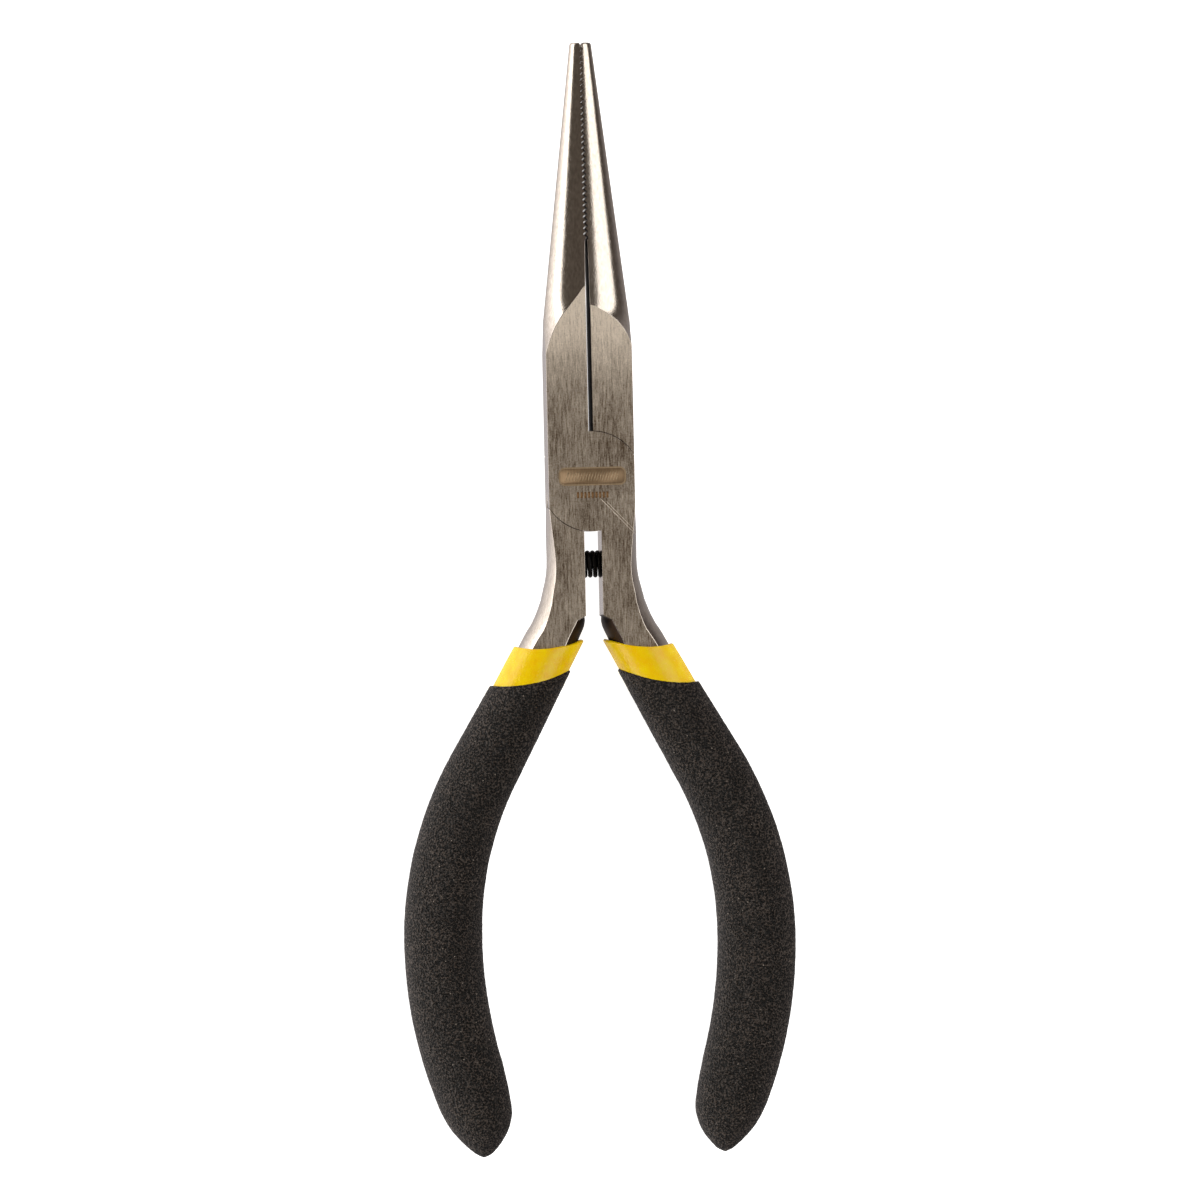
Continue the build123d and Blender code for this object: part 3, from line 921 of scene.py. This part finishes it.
# ---------------------------------------------------------------- stage
# The camera looks nearly straight down. Its distance and the lights' sizes are in metres.
CAMERA_TILT = math.radians(4.3)
CAMERA_ROLL = math.radians(1.28)
CAMERA_DISTANCE = 1.5
CAMERA_SENSOR = 36
FRAME_WIDTH = 136.7
TARGET = Vector((0.86, -13.52, MID_Z)) * MM

LIGHT_DISTANCE = 0.7
LIGHT_LENGTH = 1.6
LIGHT_COLOUR = (1.0, 0.975, 0.94)
FLOOR_HALF_WIDTH = 2.0
FLOOR_GAP = 0.0001


def make_camera():
    """Camera above the tool, tilted a little to the left and rolled a little."""
    camera = bpy.data.objects.new("camera", bpy.data.cameras.new("camera"))
    bpy.context.scene.collection.objects.link(camera)
    sideways = Vector((math.cos(CAMERA_TILT), 0, math.sin(CAMERA_TILT)))
    along = Vector((0, 1, 0))
    right = sideways * math.cos(CAMERA_ROLL) - along * math.sin(CAMERA_ROLL)
    up = sideways * math.sin(CAMERA_ROLL) + along * math.cos(CAMERA_ROLL)
    back = right.cross(up)
    rotation = Matrix((right, up, back)).transposed().to_4x4()
    camera.matrix_world = Matrix.Translation(TARGET + back * CAMERA_DISTANCE) @ rotation
    camera.data.sensor_width = CAMERA_SENSOR
    camera.data.lens = CAMERA_SENSOR * CAMERA_DISTANCE / (FRAME_WIDTH * MM)
    camera.data.clip_start = 0.05
    camera.data.clip_end = 20
    bpy.context.scene.camera = camera


def area_light(name, angle_from, angle_to, radiance):
    """Long softbox over the tool, between two angles from the vertical (positive towards +X)."""
    middle = math.radians((angle_from + angle_to) / 2)
    half = math.radians(abs(angle_to - angle_from) / 2)
    width = 2 * LIGHT_DISTANCE * math.tan(half)
    data = bpy.data.lights.new(name, "AREA")
    data.shape = "RECTANGLE"
    data.size = width
    data.size_y = LIGHT_LENGTH
    data.energy = radiance * math.pi * width * LIGHT_LENGTH
    data.color = LIGHT_COLOUR
    light = bpy.data.objects.new(name, data)
    bpy.context.scene.collection.objects.link(light)
    direction = Vector((math.sin(middle), 0, math.cos(middle)))
    light.location = direction * LIGHT_DISTANCE + Vector((0, TARGET.y, 0))
    light.rotation_euler = (0, middle, 0)
    light.visible_camera = False
    return light


def make_lights():
    """A softbox on the right, a low strip on the left, and a fill with the strip that adds no gloss."""
    area_light("right_softbox", 24, 66, 2.0)
    area_light("left_strip", -58, -87, 2.8)
    area_light("left_fill", -58, -87, 2.2).visible_glossy = False


# Brightness round the tool, by angle from straight up (positive towards +X), in degrees.
SURROUNDINGS = (
    (-180, (0.50, 0.47, 0.48)),
    (-150, (0.72, 0.69, 0.69)),
    (-125, (1.15, 1.10, 1.08)),
    (-97, (1.80, 1.74, 1.68)),
    (-89, (1.80, 1.74, 1.68)),
    (-86, (0.105, 0.090, 0.076)),
    (0, (0.105, 0.088, 0.074)),
    (86, (0.085, 0.070, 0.062)),
    (98, (0.14, 0.125, 0.12)),
    (120, (0.28, 0.255, 0.25)),
    (150, (0.34, 0.32, 0.32)),
    (180, (0.50, 0.47, 0.48)),
)


def surroundings_colour(tree):
    """Colour of the surroundings by angle round the tool's length."""
    coords = tree.nodes.new("ShaderNodeTexCoord")
    split = tree.nodes.new("ShaderNodeSeparateXYZ")
    tree.links.new(coords.outputs["Generated"], split.inputs[0])
    angle = tree.nodes.new("ShaderNodeMath")
    angle.operation = "ARCTAN2"
    tree.links.new(split.outputs[0], angle.inputs[0])
    tree.links.new(split.outputs[2], angle.inputs[1])
    share = tree.nodes.new("ShaderNodeMapRange")
    share.inputs["From Min"].default_value = -math.pi
    share.inputs["From Max"].default_value = math.pi
    tree.links.new(angle.outputs[0], share.inputs["Value"])
    ramp = tree.nodes.new("ShaderNodeValToRGB")
    stops = ramp.color_ramp.elements
    for degrees, colour in SURROUNDINGS[1:-1]:
        stops.new((degrees + 180) / 360).color = (*colour, 1)
    stops[0].color = (*SURROUNDINGS[0][1], 1)
    stops[len(stops) - 1].color = (*SURROUNDINGS[-1][1], 1)
    tree.links.new(share.outputs[0], ramp.inputs[0])
    return ramp.outputs[0]


def make_world():
    """Graded surroundings for light and reflections, and an even pale backdrop for the camera."""
    world = bpy.data.worlds.new("studio")
    bpy.context.scene.world = world
    world.use_nodes = True
    tree = world.node_tree
    background = tree.nodes["Background"]
    path = tree.nodes.new("ShaderNodeLightPath")
    seen = tree.nodes.new("ShaderNodeMix")
    seen.data_type = "RGBA"
    seen.inputs[7].default_value = (0.95, 0.95, 0.95, 1)
    tree.links.new(path.outputs["Is Camera Ray"], seen.inputs[0])
    tree.links.new(surroundings_colour(tree), seen.inputs[6])
    tree.links.new(seen.outputs[2], background.inputs["Color"])


def make_floor():
    """Pale, evenly bright floor just below the grips, left out of mirror reflections."""
    n = Nodes("pale_floor")
    speckle = n.noise((0.05, 0.05, 0.05), 2.0, 0.5)
    n.set("Base Color", n.mix(speckle, (0.80, 0.80, 0.80, 1), (0.82, 0.82, 0.82, 1)))
    n.set("Roughness", 0.9)
    n.set("Emission Color", (1, 1, 1, 1))
    n.set("Emission Strength", 1.0)
    z = min(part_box("left_grip")[0].z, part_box("right_grip")[0].z) - FLOOR_GAP
    mesh = bpy.data.meshes.new("floor")
    r = FLOOR_HALF_WIDTH
    mesh.from_pydata([(-r, -r, z), (r, -r, z), (r, r, z), (-r, r, z)], [], [(0, 1, 2, 3)])
    mesh.materials.append(n.material)
    floor = bpy.data.objects.new("floor", mesh)
    bpy.context.scene.collection.objects.link(floor)
    floor.visible_glossy = False


def dress_rivet(material):
    """The rivet keeps its CAD mesh and takes the halves' steel, because it is ground flush with them."""
    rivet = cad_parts["pivot_rivet"]
    rivet.data.materials.clear()
    rivet.data.materials.append(material)


def main():
    bright = steel("ground_and_satin_steel")
    dress_rivet(bright)
    make_jaw("left_jaw", "left_jaw_half", LEFT_BODY, LEFT_CROWN, bright)
    make_jaw("right_jaw", "right_jaw_half", RIGHT_BODY, RIGHT_CROWN, bright)
    yellow_dip, black_foam = yellow(), foam()
    make_grip("right_foam_grip", "right_grip", LEFT_BODY, 0.0, black_foam, False)
    make_grip("left_foam_grip", "left_grip", RIGHT_BODY, 50.0, black_foam, True)
    make_collar("right_collar", "right_inner_sleeve", LEFT_BODY, 0.0, yellow_dip, False)
    make_collar("left_collar", "left_inner_sleeve", RIGHT_BODY, 5.0, yellow_dip, True)
    make_spring(black_wire())
    make_bar(etched("etched_tan", rgb(126, 103, 76), rgb(152, 128, 98)))
    make_lines(etched("etched_line", rgb(150, 128, 100), rgb(176, 154, 126)))
    make_ticks(etched("etched_brown", rgb(112, 82, 50), rgb(134, 102, 66)))
    make_witness_line(etched("witness_burr", rgb(196, 182, 166), rgb(232, 220, 206)))
    make_floor()
    make_camera()
    make_world()
    make_lights()
    bpy.context.scene.view_settings.view_transform = "Standard"


main()
